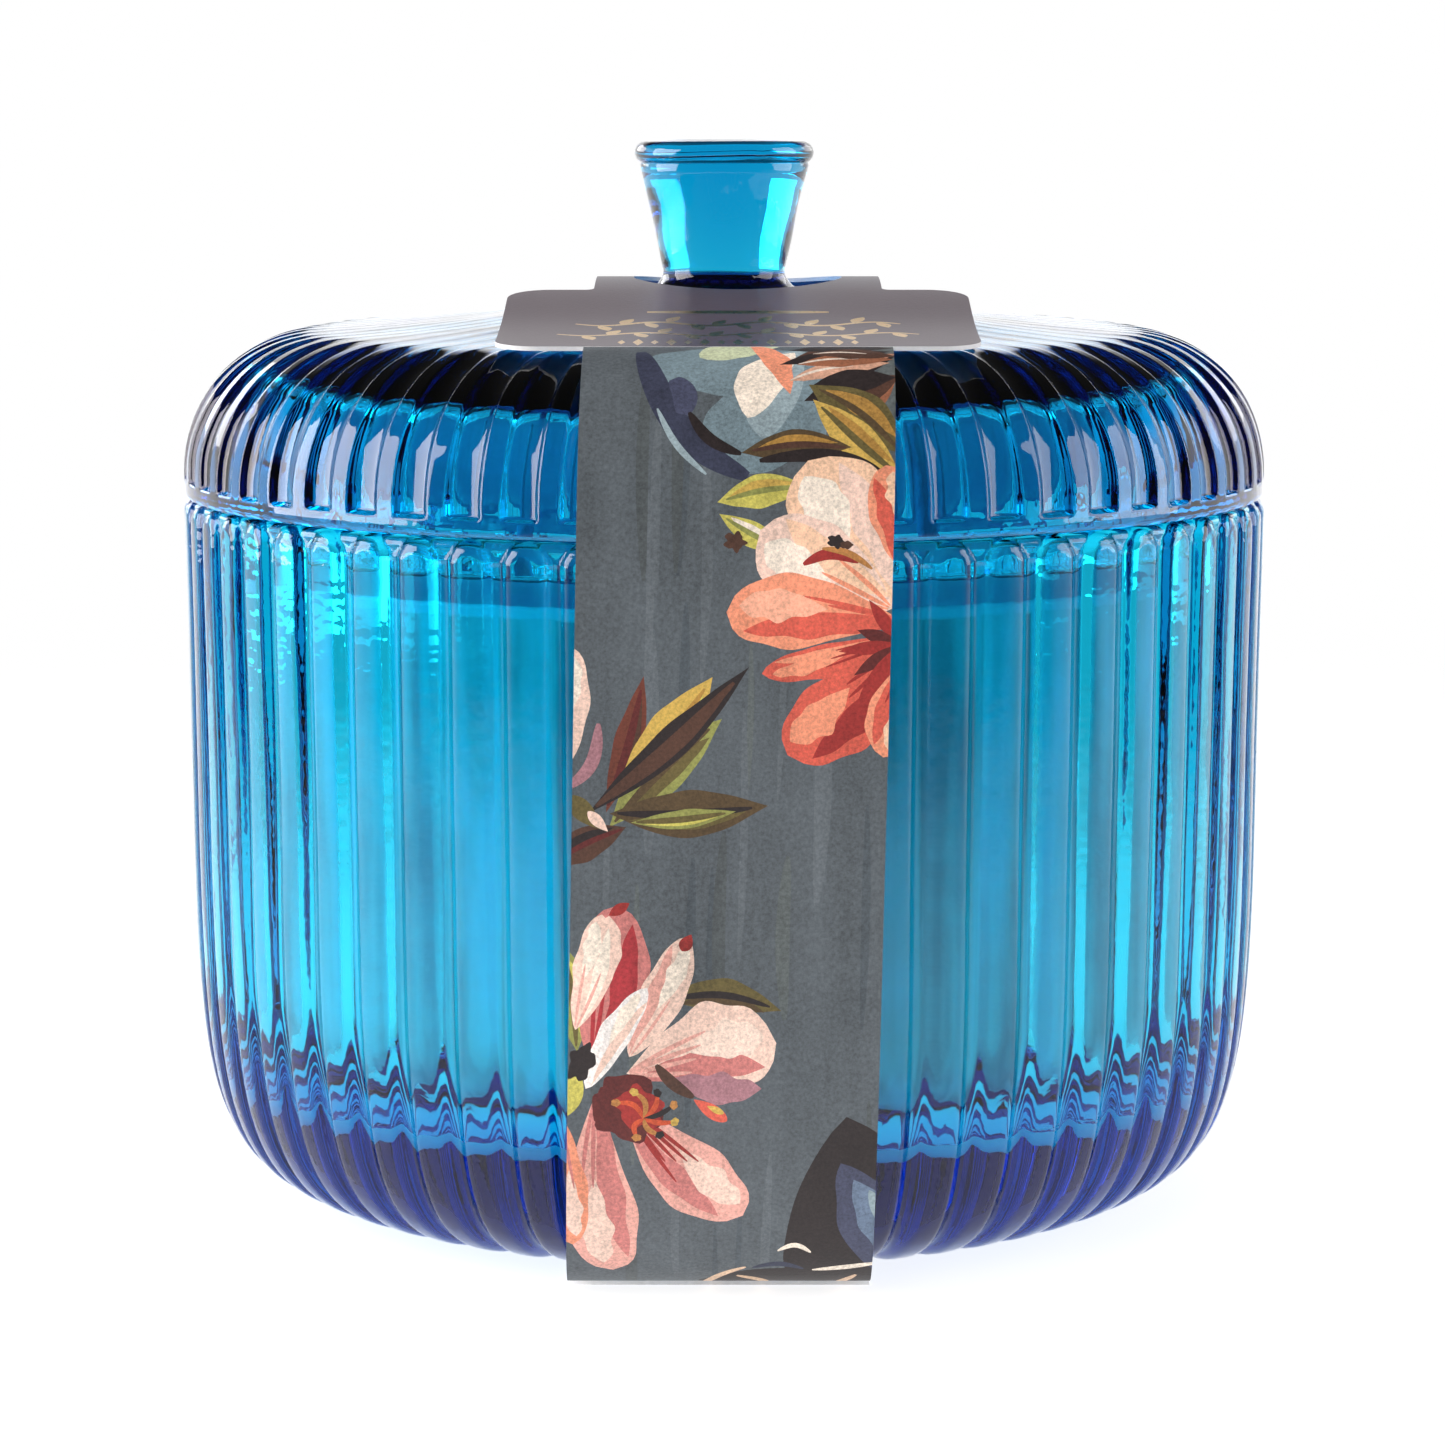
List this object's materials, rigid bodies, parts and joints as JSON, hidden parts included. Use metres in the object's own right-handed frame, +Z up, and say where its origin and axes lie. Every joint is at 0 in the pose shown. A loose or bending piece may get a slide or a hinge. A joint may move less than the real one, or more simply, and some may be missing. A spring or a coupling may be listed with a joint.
{
  "type": "lidded glass jar candle",
  "caption": "Scented candle in a ribbed blue glass jar with a domed, knobbed glass lid, held shut by a floral card wrap.",
  "frame": {"origin": "centre of the underside, on the table", "axes": "+Z up along the jar's axis; the wrap runs round the candle in the YZ plane with its printed front panel facing -Y; +X to the right of the front"},
  "size_m": [0.106, 0.1072, 0.1034],
  "materials": {
    "jar_glass": "pressed ribbed coloured glass, glossy",
    "lid_glass": "pressed ribbed coloured glass, glossy",
    "wax": "poured wax, soft satin",
    "card": "printed card, fine canvas grain",
    "label": "blank paper sticker, matt",
    "wick": "waxed braided cotton",
    "tin": "stamped tinplate",
    "pad": "double-sided foam pad"
  },
  "bodies": {
    "jar": {"jar": "jar_glass", "wax": "wax", "base_panel": "card", "base_label": "label", "wick_1": "wick", "wick_sustainer_1": "tin", "wick_pad_1": "pad", "wick_2": "wick", "wick_sustainer_2": "tin", "wick_pad_2": "pad", "wick_3": "wick", "wick_sustainer_3": "tin", "wick_pad_3": "pad"},
    "lid": {"lid": "lid_glass"},
    "label_panel": {"label_panel": "card"},
    "front_panel": {"front_panel": "card"},
    "back_panel": {"back_panel": "card"}
  },
  "joints": [
    {"name": "lid_lift", "type": "slide", "parent": "jar", "child": "lid", "axis": [0, 0, 1], "range_m": [0, 0.03]},
    {"name": "wrap_lift", "type": "slide", "parent": "lid", "child": "label_panel", "axis": [0, 0, 1], "range_m": [0, 0.018]},
    {"name": "front_panel_swing", "type": "hinge", "parent": "label_panel", "child": "front_panel", "pos_m": [0, -0.0405, 0.08555], "axis": [-1, 0, 0], "range_deg": [0, 75]},
    {"name": "back_panel_swing", "type": "hinge", "parent": "label_panel", "child": "back_panel", "pos_m": [0, 0.0405, 0.08555], "axis": [1, 0, 0], "range_deg": [0, 75]}
  ],
  "couplings": [
    {"joint": "wrap_lift", "follows": "lid_lift", "ratio": 0.6},
    {"joint": "front_panel_swing", "follows": "lid_lift", "rad_per_m": 43.6},
    {"joint": "back_panel_swing", "follows": "lid_lift", "rad_per_m": 43.6}
  ]
}
